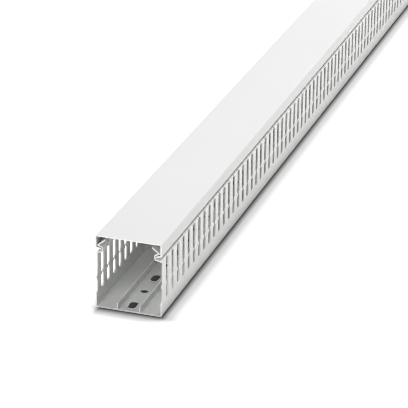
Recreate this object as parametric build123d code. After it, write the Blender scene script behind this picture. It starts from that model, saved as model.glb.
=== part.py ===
from build123d import *

import os

# Slotted wire duct, a 1 m length of rigid PVC trunking with its clip-on cover.
# Frame: X across the duct, Y along it, Z up. The origin is on the underside,
# midway across and midway along. The end that faces -Y is the sawn front end.
# All sizes are in millimetres.

# Overall
length = 1000.0
width = 53.0
height = 60.0

# Sheet thicknesses of the body
floor_thickness = 1.2
wall_thickness = 1.0
outer_corner_radius = 1.2

# Slots in the side walls, on the pitch that such duct is punched at
slot_pitch = 12.5
slot_width = 5.6
slot_bottom_height = 11.7
slot_below_shoulder = 1.1
slit_width = 1.0

# Pinch: a round bump on each finger edge that keeps wires in their slot
pinch_height = 24.2
pinch_opening = 2.2

# Cover
cover_thickness = 1.1
cover_bend_radius = 1.0
skirt_height = 10.5
hook_depth = 4.6
hook_droop = 1.0
hook_tip_radius = 0.4

# Head of each finger: shoulder, neck, bulge and guide lip. Depths are in from
# the outside of the wall, and the lip's is a reach in from the bulge. The bend
# radii are those of the middle of the sheet.
shoulder_rise = 0.9
shoulder_bend_radius = 1.6
neck_depth = 5.5
neck_lean = 0.2
neck_foot_bend_radius = 1.0
neck_top_bend_radius = 0.8
bulge_rise = 1.5
lip_reach = 5.8
lip_rise = 4.6

# Clearances between the cover and the heads: below the skirt, above the hook
# and beside the bulge
shoulder_clearance = 3.4
hook_clearance = 1.1
bulge_clearance = 0.4

# Ribs along the floor
rib_spacing = 18.0
rib_thickness = 1.0
rib_height = 4.8

# Fixing holes along the middle of the floor: round and oblong in turn
hole_diameter = 6.2
oblong_length = 12.0
hole_group_pitch = 50.0
first_oblong_from_end = 10.2

half_width = width / 2
half_length = length / 2

# The cover hangs from its top, and the heads fit inside it
skirt_bottom_height = height - skirt_height
hook_middle_height = skirt_bottom_height + cover_thickness / 2
hook_tip_height = hook_middle_height - hook_droop
shoulder_height = skirt_bottom_height - shoulder_clearance
slot_top_height = shoulder_height - slot_below_shoulder
neck_top_height = hook_tip_height + hook_clearance
bulge_height = neck_top_height + bulge_rise
lip_height = bulge_height + lip_rise

wall_centre_x = half_width - wall_thickness / 2
neck_x = half_width - neck_depth
bulge_x = half_width - cover_thickness - bulge_clearance - wall_thickness / 2
lip_x = bulge_x - lip_reach


def sheet(path, thickness, bend_radii):
    """Face of a sheet whose middle follows the path, each bend rounded to its middle radius."""
    points = [Vector(*point) for point in path]
    normals = []
    for start, end in zip(points, points[1:]):
        along = (end - start).normalized()
        normals.append(Vector(-along.Y, along.X))
    offsets = [normals[0]]
    for before, after in zip(normals, normals[1:]):
        middle = (before + after).normalized()
        offsets.append(middle / middle.dot(before))
    offsets.append(normals[-1])
    one_side = [point + offset * (thickness / 2) for point, offset in zip(points, offsets)]
    other_side = [point - offset * (thickness / 2) for point, offset in zip(points, offsets)]
    face = make_face(Polyline(*one_side, *reversed(other_side), close=True))
    for bend, radius in enumerate(bend_radii, start=1):
        turns_left = normals[bend].dot(points[bend] - points[bend - 1]) < 0
        inside, outside = (one_side, other_side) if turns_left else (other_side, one_side)
        for corner, corner_radius in (
            (outside[bend], radius + thickness / 2),
            (inside[bend], radius - thickness / 2),
        ):
            if corner_radius > 0:
                nearest = face.vertices().sort_by_distance(corner)[0]
                face = fillet(nearest, corner_radius)
    return face


def mirrored_pair(shape):
    """The shape and its mirror image across the middle of the duct."""
    return shape + mirror(shape, about=Plane.YZ)


def along_duct(section):
    """Full-length solid from a section drawn with X across and Y up."""
    upright = Plane(origin=(0, 0, 0), x_dir=(1, 0, 0), z_dir=(0, -1, 0))
    return extrude(upright * section, amount=half_length, both=True)


def body_section():
    """Section of the body before it is punched: floor, ribs, walls and heads."""
    floor = Pos(0, floor_thickness / 2) * Rectangle(width, floor_thickness)
    rib_top = floor_thickness + rib_height
    rib = Pos(rib_spacing / 2, rib_top / 2) * Rectangle(rib_thickness, rib_top)
    side = sheet(
        [
            (wall_centre_x, 0),
            (wall_centre_x, shoulder_height - wall_thickness / 2),
            (neck_x, shoulder_height - wall_thickness / 2 + shoulder_rise),
            (neck_x - neck_lean, neck_top_height),
            (bulge_x, bulge_height),
            (lip_x, lip_height),
        ],
        wall_thickness,
        [shoulder_bend_radius, neck_foot_bend_radius, neck_top_bend_radius, 0],
    )
    section = floor + mirrored_pair(rib) + mirrored_pair(side)
    corners = section.vertices().filter_by(lambda vertex: abs(vertex.Y) < 1e-6)
    return fillet(corners, outer_corner_radius)


def slot_cutter():
    """Punch through both walls at one slot: round bottom, pinch, full width to the shoulder, slit above."""
    end_radius = slot_width / 2
    straight_bottom = slot_bottom_height + end_radius
    straight = slot_top_height - straight_bottom
    bump_radius = (slot_width - pinch_opening) / 2
    slit_height = height - slot_top_height
    outline = Pos(0, straight_bottom + straight / 2) * Rectangle(slot_width, straight)
    outline += Pos(0, straight_bottom) * Circle(end_radius)
    for side in (-1, 1):
        outline -= Pos(side * end_radius, pinch_height) * Circle(bump_radius)
    outline += Pos(0, slot_top_height + slit_height / 2) * Rectangle(slit_width, slit_height)
    return extrude(Plane.YZ * outline, amount=half_width + wall_thickness, both=True)


def fixing_hole_cutters():
    """Round and oblong holes through the floor, in turn along the duct."""
    groups = int((length - first_oblong_from_end) // hole_group_pitch) + 1
    depth = floor_thickness * 2
    oblong = extrude(Rot(0, 0, 90) * SlotOverall(oblong_length, hole_diameter), amount=depth, both=True)
    round_hole = extrude(Circle(hole_diameter / 2), amount=depth, both=True)
    cutters = []
    for group in range(groups):
        oblong_y = first_oblong_from_end + group * hole_group_pitch - half_length
        round_y = oblong_y + hole_group_pitch / 2
        cutters.append(Pos(0, oblong_y, 0) * oblong)
        if round_y + hole_diameter < half_length:
            cutters.append(Pos(0, round_y, 0) * round_hole)
    return cutters


def duct_body():
    """Body: one extruded channel, punched with wall slots and floor holes."""
    slots = int(length // slot_pitch) + 1
    punch = slot_cutter()
    cutters = [Pos(0, index * slot_pitch - half_length, 0) * punch for index in range(slots)]
    return along_duct(body_section()).cut(*cutters, *fixing_hole_cutters())


def cover():
    """Cover: flat top, a skirt down each side and a hook that leans down under the bulge of the heads."""
    skirt_x = half_width - cover_thickness / 2
    hook_tip_x = half_width - hook_depth
    top_height = height - cover_thickness / 2
    right_half = [(hook_tip_x, hook_tip_height), (skirt_x, hook_middle_height), (skirt_x, top_height)]
    left_half = [(-x, z) for x, z in reversed(right_half)]
    section = sheet(right_half + left_half, cover_thickness, [0, cover_bend_radius, cover_bend_radius, 0])
    hook_tips = section.vertices().filter_by(lambda vertex: abs(vertex.X) < hook_tip_x + cover_thickness / 2)
    return along_duct(fillet(hook_tips, hook_tip_radius))


os.makedirs("parts", exist_ok=True)
export_step(duct_body(), "parts/duct_body.step")
export_step(cover(), "parts/cover.step")
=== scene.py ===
import logging
import math
from dataclasses import dataclass
from enum import Enum
from typing import Any, Callable

import bpy
from mathutils import Matrix, Vector


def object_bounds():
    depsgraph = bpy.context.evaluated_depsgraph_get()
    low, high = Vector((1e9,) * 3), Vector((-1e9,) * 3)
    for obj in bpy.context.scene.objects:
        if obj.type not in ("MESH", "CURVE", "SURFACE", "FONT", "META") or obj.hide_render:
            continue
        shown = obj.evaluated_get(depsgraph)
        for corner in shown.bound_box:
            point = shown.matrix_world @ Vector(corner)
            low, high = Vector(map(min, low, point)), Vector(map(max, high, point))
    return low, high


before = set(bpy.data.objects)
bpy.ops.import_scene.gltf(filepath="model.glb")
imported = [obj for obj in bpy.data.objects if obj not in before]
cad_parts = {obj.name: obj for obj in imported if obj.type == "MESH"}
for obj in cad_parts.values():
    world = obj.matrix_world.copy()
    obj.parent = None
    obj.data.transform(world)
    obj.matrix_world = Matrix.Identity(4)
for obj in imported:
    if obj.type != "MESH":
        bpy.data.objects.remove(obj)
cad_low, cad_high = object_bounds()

log = logging.getLogger("wire_duct")

Colour = tuple[float, float, float]
GreyStops = tuple[tuple[float, float], ...]
FaceTest = Callable[[bpy.types.MeshPolygon], bool]

PHOTO_PIXELS = 408
PIXEL_FILTER_WIDTH = 1.0
MILLIMETRE = 0.001
PVC_INDEX = 1.53
NOISE_MIDDLE = 0.5


class Signal:
    """One output of a material's nodes, which Python's operators turn into Math nodes."""

    def __init__(self, sheet: "NodeSheet", socket: bpy.types.NodeSocket) -> None:
        """Keeps a socket together with the sheet that its node is on.

        Args:
            sheet: The nodes that the socket belongs to.
            socket: The output socket.
        """
        self.sheet = sheet
        self.socket = socket

    def _maths(self, operation: str, first: Any, second: Any) -> "Signal":
        """Adds one Math node.

        Args:
            operation: The Math node's operation.
            first: A signal or number for its first input.
            second: A signal or number for its second input.

        Returns:
            The node's result.
        """
        return self.sheet.add("ShaderNodeMath", {"operation": operation}, {0: first, 1: second})

    def __add__(self, other: Any) -> "Signal":
        """Sum."""
        return self._maths("ADD", self, other)

    def __radd__(self, other: Any) -> "Signal":
        """Sum, reflected."""
        return self._maths("ADD", other, self)

    def __sub__(self, other: Any) -> "Signal":
        """Difference."""
        return self._maths("SUBTRACT", self, other)

    def __rsub__(self, other: Any) -> "Signal":
        """Difference, reflected."""
        return self._maths("SUBTRACT", other, self)

    def __mul__(self, other: Any) -> "Signal":
        """Product."""
        return self._maths("MULTIPLY", self, other)

    def __rmul__(self, other: Any) -> "Signal":
        """Product, reflected."""
        return self._maths("MULTIPLY", other, self)

    def __neg__(self) -> "Signal":
        """Opposite sign."""
        return self._maths("MULTIPLY", self, -1.0)

    def __abs__(self) -> "Signal":
        """Size without sign."""
        return self.sheet.add("ShaderNodeMath", {"operation": "ABSOLUTE"}, {0: self})

    def larger(self, other: Any) -> "Signal":
        """Larger of the two."""
        return self._maths("MAXIMUM", self, other)

    def span(self, other: "Signal") -> "Signal":
        """Straight distance over two steps at right angles."""
        return self._maths("POWER", self * self + other * other, 0.5)


class Rise(Enum):
    """Shape of a rise from one level to another, as the Map Range node names it."""

    STRAIGHT = "LINEAR"
    SMOOTH = "SMOOTHSTEP"


class NodeSheet:
    """Node tree of one material or world, filled through a single method."""

    MIX_SHARE, MIX_FIRST, MIX_SECOND, MIX_RESULT = 0, 6, 7, 2

    def __init__(self, owner: bpy.types.Material | bpy.types.World) -> None:
        """Clears the owner's nodes.

        Args:
            owner: The material or world to fill.
        """
        owner.use_nodes = True
        self.tree = owner.node_tree
        self.tree.nodes.clear()

    def add(self, kind: str, settings: dict[str, Any], values: dict[int | str, Any],
            output: int | str = 0) -> Signal:
        """Adds a node of any type.

        Args:
            kind: The node's type name.
            settings: Properties set before the inputs; "stops" holds a ramp's positions and colours.
            values: Numbers, colours or signals by input name or index.
            output: The output that is handed back.

        Returns:
            The chosen output as a signal.
        """
        node = self.tree.nodes.new(kind)
        for name, value in settings.items():
            if name == "stops":
                self._set_stops(node.color_ramp, value)
            else:
                setattr(node, name, value)
        for name, value in values.items():
            if isinstance(value, Signal):
                self.tree.links.new(value.socket, node.inputs[name])
            else:
                node.inputs[name].default_value = value
        return Signal(self, node.outputs[output])

    @staticmethod
    def _set_stops(ramp: bpy.types.ColorRamp, stops: list[tuple[float, Colour]]) -> None:
        """Gives a ramp these stops.

        Args:
            ramp: The ramp.
            stops: Positions and colours in order.
        """
        while len(ramp.elements) < len(stops):
            ramp.elements.new(1.0)
        for element, (position, colour) in zip(ramp.elements, stops):
            element.position = position
            element.color = (*colour, 1.0)

    def mixed(self, share: Signal, first: Signal | Colour, second: Colour) -> Signal:
        """Adds a mix of two colours.

        Args:
            share: The second colour's share, from 0 to 1.
            first: The colour at 0.
            second: The colour at 1.

        Returns:
            The mixed colour.
        """
        start = first if isinstance(first, Signal) else (*first, 1.0)
        values = {self.MIX_SHARE: share, self.MIX_FIRST: start, self.MIX_SECOND: (*second, 1.0)}
        return self.add("ShaderNodeMix", {"data_type": "RGBA"}, values, self.MIX_RESULT)

    def risen(self, value: Signal, start: float, end: float, top: float = 1.0,
              shape: Rise = Rise.STRAIGHT) -> Signal:
        """Adds a rise from 0 to the top between two values, level on either side of them.

        Args:
            value: What the rise depends on.
            start: The value where it leaves 0.
            end: The value where it reaches the top.
            top: Its highest level.
            shape: The rise's shape.

        Returns:
            The level.
        """
        values = {"Value": value, "From Min": start, "From Max": end, "To Max": top}
        return self.add("ShaderNodeMapRange", {"interpolation_type": shape.value}, values)

    def finish(self, kind: str, shader: Signal) -> None:
        """Links a shader to a new output node of this kind."""
        node = self.tree.nodes.new(kind)
        self.tree.links.new(shader.socket, node.inputs["Surface"])


class Lay(Enum):
    """Way a die line or saw mark runs, as the marks per metre on each axis."""

    ALONG_DUCT = (900.0, 4.0, 900.0)
    ACROSS_CUT = (60.0, 2500.0, 2500.0)


@dataclass(frozen=True)
class ExtrudedPvc:
    """Rigid PVC as it leaves the die, with rougher faces of their own shade where it was punched or sawn.

    The tone drifts in soft clouds and fine die lines between the shade and the colour. Those
    lines, the tool's marks on cut faces and a slight orange peel stand out as relief.
    """

    name: str
    colour: Colour
    shade: Colour
    cut_colour: Colour
    roughness: float
    cut_roughness: float
    coat: float
    cut_facing: tuple[float, float] = (0.25, 0.75)
    tone_span: tuple[float, float] = (0.30, 0.62)
    cloud_tone: float = 0.7
    line_tone: float = 0.3
    cloud_roughness: float = 0.10
    line_roughness: float = 0.16
    line_relief: float = 0.5
    peel_relief: float = 0.25
    saw_relief: float = 1.4
    relief_depth: float = 0.06 * MILLIMETRE

    def material(self) -> bpy.types.Material:
        """Builds the material.

        Returns:
            The finished material.
        """
        material = bpy.data.materials.new(self.name)
        sheet = NodeSheet(material)
        place = sheet.add("ShaderNodeTexCoord", {}, {}, "Object")
        cut = self._cut(sheet)
        lines = self._grain(sheet, place, Lay.ALONG_DUCT, 3.0)
        saw = self._grain(sheet, place, Lay.ACROSS_CUT, 2.0)
        cloud = sheet.add("ShaderNodeTexNoise", {}, {
            "Vector": place, "Scale": 9.0, "Detail": 4.0, "Roughness": 0.55})
        peel = sheet.add("ShaderNodeTexNoise", {}, {"Vector": place, "Scale": 1600.0, "Detail": 2.0})
        dark, pale = self.tone_span
        drift = sheet.add("ShaderNodeValToRGB", {"stops": [(dark, self.shade), (pale, self.colour)]},
                          {"Fac": cloud * self.cloud_tone + lines * self.line_tone})
        unevenness = ((lines - NOISE_MIDDLE) * self.line_roughness
                      + (cloud - NOISE_MIDDLE) * self.cloud_roughness)
        relief = (lines * self.line_relief * (1 - cut) + peel * self.peel_relief
                  + saw * cut * self.saw_relief)
        bump = sheet.add("ShaderNodeBump", {}, {
            "Strength": 0.25, "Distance": self.relief_depth, "Height": relief})
        shader = sheet.add("ShaderNodeBsdfPrincipled", {}, {
            "Base Color": sheet.mixed(cut, drift, self.cut_colour),
            "Roughness": self.roughness + unevenness + cut * (self.cut_roughness - self.roughness),
            "IOR": PVC_INDEX,
            "Coat Weight": self.coat,
            "Coat Roughness": 0.35,
            "Normal": bump,
        })
        sheet.finish("ShaderNodeOutputMaterial", shader)
        return material

    def _cut(self, sheet: NodeSheet) -> Signal:
        """Adds a mask of the cut faces, which are the ones that face along the duct.

        Args:
            sheet: The material's nodes.

        Returns:
            1 on a cut face, 0 on one that the die shaped.
        """
        facing = sheet.add("ShaderNodeTexCoord", {}, {}, "Normal")
        along = sheet.add("ShaderNodeSeparateXYZ", {}, {0: facing}, "Y")
        return sheet.risen(abs(along), *self.cut_facing, shape=Rise.SMOOTH)

    @staticmethod
    def _grain(sheet: NodeSheet, place: Signal, lay: Lay, detail: float) -> Signal:
        """Adds noise drawn out along one way.

        Args:
            sheet: The material's nodes.
            place: Object coordinates.
            lay: The way that the marks run.
            detail: The noise's detail.

        Returns:
            The marks, from 0 to 1.
        """
        mapped = sheet.add("ShaderNodeMapping", {}, {"Vector": place, "Scale": lay.value})
        return sheet.add("ShaderNodeTexNoise", {}, {"Vector": mapped, "Scale": 1.0, "Detail": detail})


@dataclass(frozen=True)
class PunchedPvc:
    """Wall of a punched hole: a pale burnished band where the punch entered, and rough torn plastic below
    it, coloured near-black as painted shade for the hole's dark depth.
    """

    name: str
    band: Colour = (0.84, 0.845, 0.83)
    # Near-black colour: painted shade for the hole's dark depth, laid on the torn zone.
    torn_zone_painted_shade: Colour = (0.17, 0.17, 0.165)
    band_low: float = 0.60 * MILLIMETRE
    band_high: float = 0.78 * MILLIMETRE
    torn_roughness: float = 0.75
    band_roughness: float = 0.45
    tear_depth: float = 0.08 * MILLIMETRE

    def material(self) -> bpy.types.Material:
        """Builds the material.

        Returns:
            The finished material.
        """
        material = bpy.data.materials.new(self.name)
        sheet = NodeSheet(material)
        place = sheet.add("ShaderNodeTexCoord", {}, {}, "Object")
        height = sheet.add("ShaderNodeSeparateXYZ", {}, {0: place}, "Z")
        tear = sheet.add("ShaderNodeTexNoise", {}, {"Vector": place, "Scale": 2200.0, "Detail": 3.0})
        ragged = height + (tear - NOISE_MIDDLE) * (self.band_high - self.band_low)
        burnished = sheet.risen(ragged, self.band_low, self.band_high, shape=Rise.SMOOTH)
        bump = sheet.add("ShaderNodeBump", {}, {
            "Strength": 0.4, "Distance": self.tear_depth, "Height": tear * (1 - burnished)})
        # Below the burnished band the wall takes the painted shade colour.
        shader = sheet.add("ShaderNodeBsdfPrincipled", {}, {
            "Base Color": sheet.mixed(burnished, self.torn_zone_painted_shade, self.band),
            "Roughness": self.torn_roughness - burnished * (self.torn_roughness - self.band_roughness),
            "IOR": PVC_INDEX,
            "Normal": bump,
        })
        sheet.finish("ShaderNodeOutputMaterial", shader)
        return material


@dataclass
class Extrusion:
    """One extrusion from model.glb with both its ends sawn. Its shape stays as the solid gives it."""

    node: str
    finish: ExtrudedPvc
    sawn_finish: ExtrudedPvc
    sawn_facing: float = 0.9
    sawn_depth: float = 0.1 * MILLIMETRE

    def dress(self) -> None:
        """Puts one finish on the whole node and another on its sawn ends."""
        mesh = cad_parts[self.node].data
        mesh.materials.clear()
        mesh.materials.append(self.finish.material())
        log.info("%s: %d triangles, %s", self.node, len(mesh.polygons), self.finish.name)
        self._dress_faces(self.sawn_finish, self._is_sawn)

    def _dress_faces(self, finish: ExtrudedPvc | PunchedPvc, wanted: FaceTest) -> None:
        """Puts another finish on some of the node's faces.

        Args:
            finish: The finish that the faces get.
            wanted: Tells whether a face is one of them.
        """
        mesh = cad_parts[self.node].data
        mesh.materials.append(finish.material())
        slot = len(mesh.materials) - 1
        faces = [polygon for polygon in mesh.polygons if wanted(polygon)]
        for polygon in faces:
            polygon.material_index = slot
        log.info("%s: %d faces in %s", self.node, len(faces), finish.name)

    def _is_sawn(self, polygon: bpy.types.MeshPolygon) -> bool:
        """Tells whether a face lies on a sawn end."""
        at_end = abs(polygon.center.y) > cad_high.y - self.sawn_depth
        return at_end and abs(polygon.normal.y) > self.sawn_facing


@dataclass
class DuctBody(Extrusion):
    """The punched channel, with painted shade on its floor holes' lower walls and a painted highlight on its
    ribs' tops.
    """

    node: str = "duct_body"
    finish: ExtrudedPvc = ExtrudedPvc(
        "duct_pvc", (0.735, 0.745, 0.725), (0.700, 0.710, 0.690), (0.66, 0.665, 0.65), 0.46, 0.62, 0.0)
    sawn_finish: ExtrudedPvc = ExtrudedPvc(
        "duct_pvc_sawn", (0.84, 0.845, 0.83), (0.80, 0.805, 0.79), (0.84, 0.845, 0.83), 0.62, 0.62, 0.0)
    # Hole walls whose torn lower zone carries painted shade.
    hole_finish: PunchedPvc = PunchedPvc("duct_pvc_hole_walls")
    # Paler than the duct: a painted highlight on the ribs' tops.
    rib_top_painted_highlight: ExtrudedPvc = ExtrudedPvc(
        "duct_pvc_rib_tops_painted_highlight", (0.92, 0.925, 0.91), (0.90, 0.905, 0.89), (0.92, 0.925, 0.91), 0.40, 0.62, 0.0)
    floor_thickness: float = 1.2 * MILLIMETRE
    rib_top_height: float = 6.0 * MILLIMETRE
    rib_top_tolerance: float = 0.3 * MILLIMETRE
    hole_strip_half_width: float = 5.0 * MILLIMETRE
    end_margin: float = 2.5 * MILLIMETRE
    upward: float = 0.5

    def dress(self) -> None:
        """Dresses the holes' walls and the ribs' tops after all the rest."""
        super().dress()
        self._dress_faces(self.hole_finish, self._is_hole_wall)
        self._dress_faces(self.rib_top_painted_highlight, self._is_rib_top)

    def _is_hole_wall(self, polygon: bpy.types.MeshPolygon) -> bool:
        """Tells whether a face is a floor hole's wall.

        Args:
            polygon: The face.

        Returns:
            Whether it is upright, within the floor's thickness, in the strip of holes and off the ends.
        """
        centre = polygon.center
        in_strip = abs(centre.x) < self.hole_strip_half_width
        off_ends = abs(centre.y) < cad_high.y - self.end_margin
        in_floor = 0.0 < centre.z < self.floor_thickness
        return in_strip and off_ends and in_floor and abs(polygon.normal.z) < self.upward

    def _is_rib_top(self, polygon: bpy.types.MeshPolygon) -> bool:
        """Tells whether a face is the top of a floor rib, which gets a painted highlight."""
        at_top = abs(polygon.center.z - self.rib_top_height) < self.rib_top_tolerance
        return at_top and polygon.normal.z > self.upward


@dataclass
class ClipCover(Extrusion):
    """The cover that clips over the finger heads."""

    node: str = "cover"
    # The cover's grey is set darker than the duct's as painted shade, offsetting the stronger lamp light on
    # its top; both are the same plastic.
    finish: ExtrudedPvc = ExtrudedPvc(
        "cover_pvc", (0.600, 0.603, 0.597), (0.580, 0.583, 0.577), (0.70, 0.702, 0.695), 0.40, 0.60, 0.03)
    sawn_finish: ExtrudedPvc = ExtrudedPvc(
        "cover_pvc_sawn", (0.78, 0.783, 0.775), (0.74, 0.743, 0.735), (0.78, 0.783, 0.775), 0.62, 0.62, 0.0)


@dataclass(frozen=True)
class SoftBox:
    """A square area lamp that faces a point: turned from the duct's front end, and raised, in degrees."""

    name: str
    turn: float
    rise: float
    watts: float
    distance: float = 2.6
    size: float = 1.4

    def switch_on(self, aim: Vector) -> None:
        """Adds the lamp.

        Args:
            aim: The point that it faces.
        """
        lamp = bpy.data.lights.new(self.name, "AREA")
        lamp.shape = "SQUARE"
        lamp.size = self.size
        lamp.energy = self.watts
        turn, rise = math.radians(self.turn), math.radians(self.rise)
        outward = Vector((math.sin(turn) * math.cos(rise), -math.cos(turn) * math.cos(rise), math.sin(rise)))
        holder = bpy.data.objects.new(self.name, lamp)
        holder.location = aim + outward * self.distance
        holder.rotation_euler = outward.to_track_quat("Z", "Y").to_euler()
        bpy.context.scene.collection.objects.link(holder)


@dataclass
class Studio:
    """Pale floor, white surroundings and six soft lamps.

    The floor is matt paper that glows towards white. Both the paper's grey and the glow depend
    on the distance beyond the duct's outline, so the duct stands on a soft ring of painted shadow:
    the paper is painted darker and its glow, painted light, is weaker near the duct. The matt
    paper also takes the lamps' real shadows. The ring is thin on the lit side and behind, and it
    is stretched and lifted in front of the sawn end. Distances are in metres, and each stop is a
    share of the reach with the grey there.
    """

    floor_half_side: float = 9.0
    # Painted shadow: the paper's grey, dark at the duct's outline and pale at the reach.
    shadow_paint_reach: float = 0.060
    shadow_paint_stops: GreyStops = (
        (0.0, 0.02), (0.0833, 0.45), (0.125, 0.47), (0.167, 0.57), (0.333, 0.85), (1.0, 0.94))
    # Painted light: the floor's glow, weak at the duct's outline and strong at the reach.
    glow_reach: float = 0.12
    glow_stops: GreyStops = ((0.0, 0.035), (0.25, 0.24), (1.0, 0.65))
    lit_side_haste: float = 6.0
    lit_side_inset: float = 0.003
    front_haste: float = 0.7
    # Painted light that lifts the floor in front of the sawn end and far from the duct.
    front_glow: float = 0.62
    front_glow_start: float = 0.0010
    front_glow_end: float = 0.0095
    far_glow: float = 0.35
    far_glow_start: float = 0.5
    far_glow_end: float = 1.2
    lamps_aim: tuple[float, float, float] = (0.0, -0.1, 0.03)
    lamps: tuple[SoftBox, ...] = (
        SoftBox("top_key", 180.0, 75.0, 28.0),
        SoftBox("back_right_key", 150.0, 66.0, 57.0),
        SoftBox("right_fill", 90.0, 28.0, 11.0),
        SoftBox("front_fill", 0.0, 12.0, 16.0),
        SoftBox("front_raised_fill", 0.0, 42.0, 13.0),
        SoftBox("front_left_fill", 345.0, 30.0, 9.5),
    )

    def build(self) -> None:
        """Makes the floor, the world and the lamps."""
        self._floor()
        self._world()
        for lamp in self.lamps:
            lamp.switch_on(Vector(self.lamps_aim))
        log.info("studio: floor, world and %d lamps", len(self.lamps))

    def _floor(self) -> None:
        """Makes the floor."""
        side = self.floor_half_side
        mesh = bpy.data.meshes.new("studio_floor")
        corners = [(-side, -side, 0.0), (side, -side, 0.0), (side, side, 0.0), (-side, side, 0.0)]
        mesh.from_pydata(corners, [], [(0, 1, 2, 3)])
        mesh.materials.append(self._glowing_paper())
        floor = bpy.data.objects.new("studio_floor", mesh)
        bpy.context.scene.collection.objects.link(floor)

    def _glowing_paper(self) -> bpy.types.Material:
        """Builds the floor's material, which shows white except where the lamps' real shadows and a ring of
        painted shadow darken it.

        Returns:
            The finished material.
        """
        material = bpy.data.materials.new("studio_floor_white")
        sheet = NodeSheet(material)
        place = sheet.add("ShaderNodeTexCoord", {}, {}, "Object")
        x = sheet.add("ShaderNodeSeparateXYZ", {}, {0: place}, "X")
        y = sheet.add("ShaderNodeSeparateXYZ", {}, {0: place}, "Y")
        left = (-x - cad_high.x + self.lit_side_inset) * self.lit_side_haste
        back = (y - cad_high.y + self.lit_side_inset) * self.lit_side_haste
        across = (x - cad_high.x).larger(left).larger(0.0)
        along = ((-y - cad_high.y) * self.front_haste).larger(back).larger(0.0)
        beyond = across.span(along)
        # Painted light lifting the floor in front of the sawn end and far from the duct.
        in_front = sheet.risen(along, self.front_glow_start, self.front_glow_end, self.front_glow)
        far_off = sheet.risen(beyond, self.far_glow_start, self.far_glow_end, self.far_glow)
        lift = self._ring(sheet, beyond, self.glow_reach, self.glow_stops) + in_front + far_off
        # Painted shadow darkening the paper round the duct.
        shadow_paint_grey = self._ring(sheet, beyond, self.shadow_paint_reach, self.shadow_paint_stops)
        matt = sheet.add("ShaderNodeBsdfDiffuse", {}, {"Color": shadow_paint_grey})
        # Painted light: emission seen only by camera, mirrored and let-through rays.
        glow = sheet.add("ShaderNodeEmission", {}, {"Color": lift * self._shown(sheet)})
        both = sheet.add("ShaderNodeAddShader", {}, {0: matt, 1: glow})
        sheet.finish("ShaderNodeOutputMaterial", both)
        return material

    @staticmethod
    def _ring(sheet: NodeSheet, beyond: Signal, reach: float, stops: GreyStops) -> Signal:
        """Adds a grey that changes with the distance beyond the duct's outline, for the painted shadow and
        painted light round it.

        Args:
            sheet: The floor's nodes.
            beyond: The distance.
            reach: The distance of the last stop.
            stops: Shares of the reach, with the grey at each.

        Returns:
            The grey.
        """
        greys = [(share, (grey, grey, grey)) for share, grey in stops]
        return sheet.add("ShaderNodeValToRGB", {"stops": greys}, {"Fac": sheet.risen(beyond, 0.0, reach)})

    @staticmethod
    def _shown(sheet: NodeSheet) -> Signal:
        """Adds a mask of the rays that show the background: the camera's, and those mirrored or let through.

        Args:
            sheet: The floor's or the world's nodes.

        Returns:
            1 for such a ray, 0 for any other.
        """
        seen = sheet.add("ShaderNodeLightPath", {}, {}, "Is Camera Ray")
        mirrored = sheet.add("ShaderNodeLightPath", {}, {}, "Is Glossy Ray")
        let_through = sheet.add("ShaderNodeLightPath", {}, {}, "Is Transmission Ray")
        return seen.larger(mirrored).larger(let_through)

    def _world(self) -> None:
        """Makes the world, white where it is seen and dark as a light."""
        world = bpy.data.worlds.new("studio_world")
        bpy.context.scene.world = world
        sheet = NodeSheet(world)
        sky = sheet.add("ShaderNodeBackground", {}, {"Color": self._shown(sheet), "Strength": 1.0})
        sheet.finish("ShaderNodeOutputWorld", sky)


@dataclass
class PhotoCamera:
    """Camera where the photograph's was, found from the duct's edges and its row of slots.

    Its place is in metres. It looks along +Y, turned to the left, dipped to the floor and
    rolled, in radians.
    """

    place: tuple[float, float, float] = (0.500214, -1.828101, 0.715161)
    turn: float = 0.320705
    dip: float = 0.415407
    roll: float = 0.010531
    focal_pixels: float = 2102.51
    sensor_width: float = 36.0
    nearest: float = 0.05
    farthest: float = 60.0

    def set_up(self) -> None:
        """Adds the camera and makes it the scene's."""
        camera = bpy.data.cameras.new("photo_camera")
        camera.sensor_width = self.sensor_width
        camera.lens = self.focal_pixels / PHOTO_PIXELS * self.sensor_width
        camera.clip_start = self.nearest
        camera.clip_end = self.farthest
        holder = bpy.data.objects.new("photo_camera", camera)
        holder.matrix_world = Matrix.Translation(self.place) @ self._aim().to_4x4()
        bpy.context.scene.collection.objects.link(holder)
        bpy.context.scene.camera = holder
        log.info("photo_camera: %.0f mm lens", camera.lens)

    def _aim(self) -> Matrix:
        """Works out which way the camera faces.

        Returns:
            The camera's right, up and backward directions as the columns of a matrix.
        """
        ahead = Vector((-math.sin(self.turn) * math.cos(self.dip), math.cos(self.turn) * math.cos(self.dip),
                        -math.sin(self.dip)))
        level = Vector((math.cos(self.turn), math.sin(self.turn), 0.0))
        above = level.cross(ahead)
        right = level * math.cos(self.roll) + above * math.sin(self.roll)
        up = above * math.cos(self.roll) - level * math.sin(self.roll)
        return Matrix((right, up, -ahead)).transposed()


def main() -> None:
    """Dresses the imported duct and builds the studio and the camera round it."""
    logging.basicConfig(level=logging.INFO, format="%(name)s: %(message)s")
    DuctBody().dress()
    ClipCover().dress()
    Studio().build()
    PhotoCamera().set_up()
    scene = bpy.context.scene
    scene.view_settings.view_transform = "Standard"
    scene.cycles.filter_width = PIXEL_FILTER_WIDTH


if __name__ == "__main__":
    main()
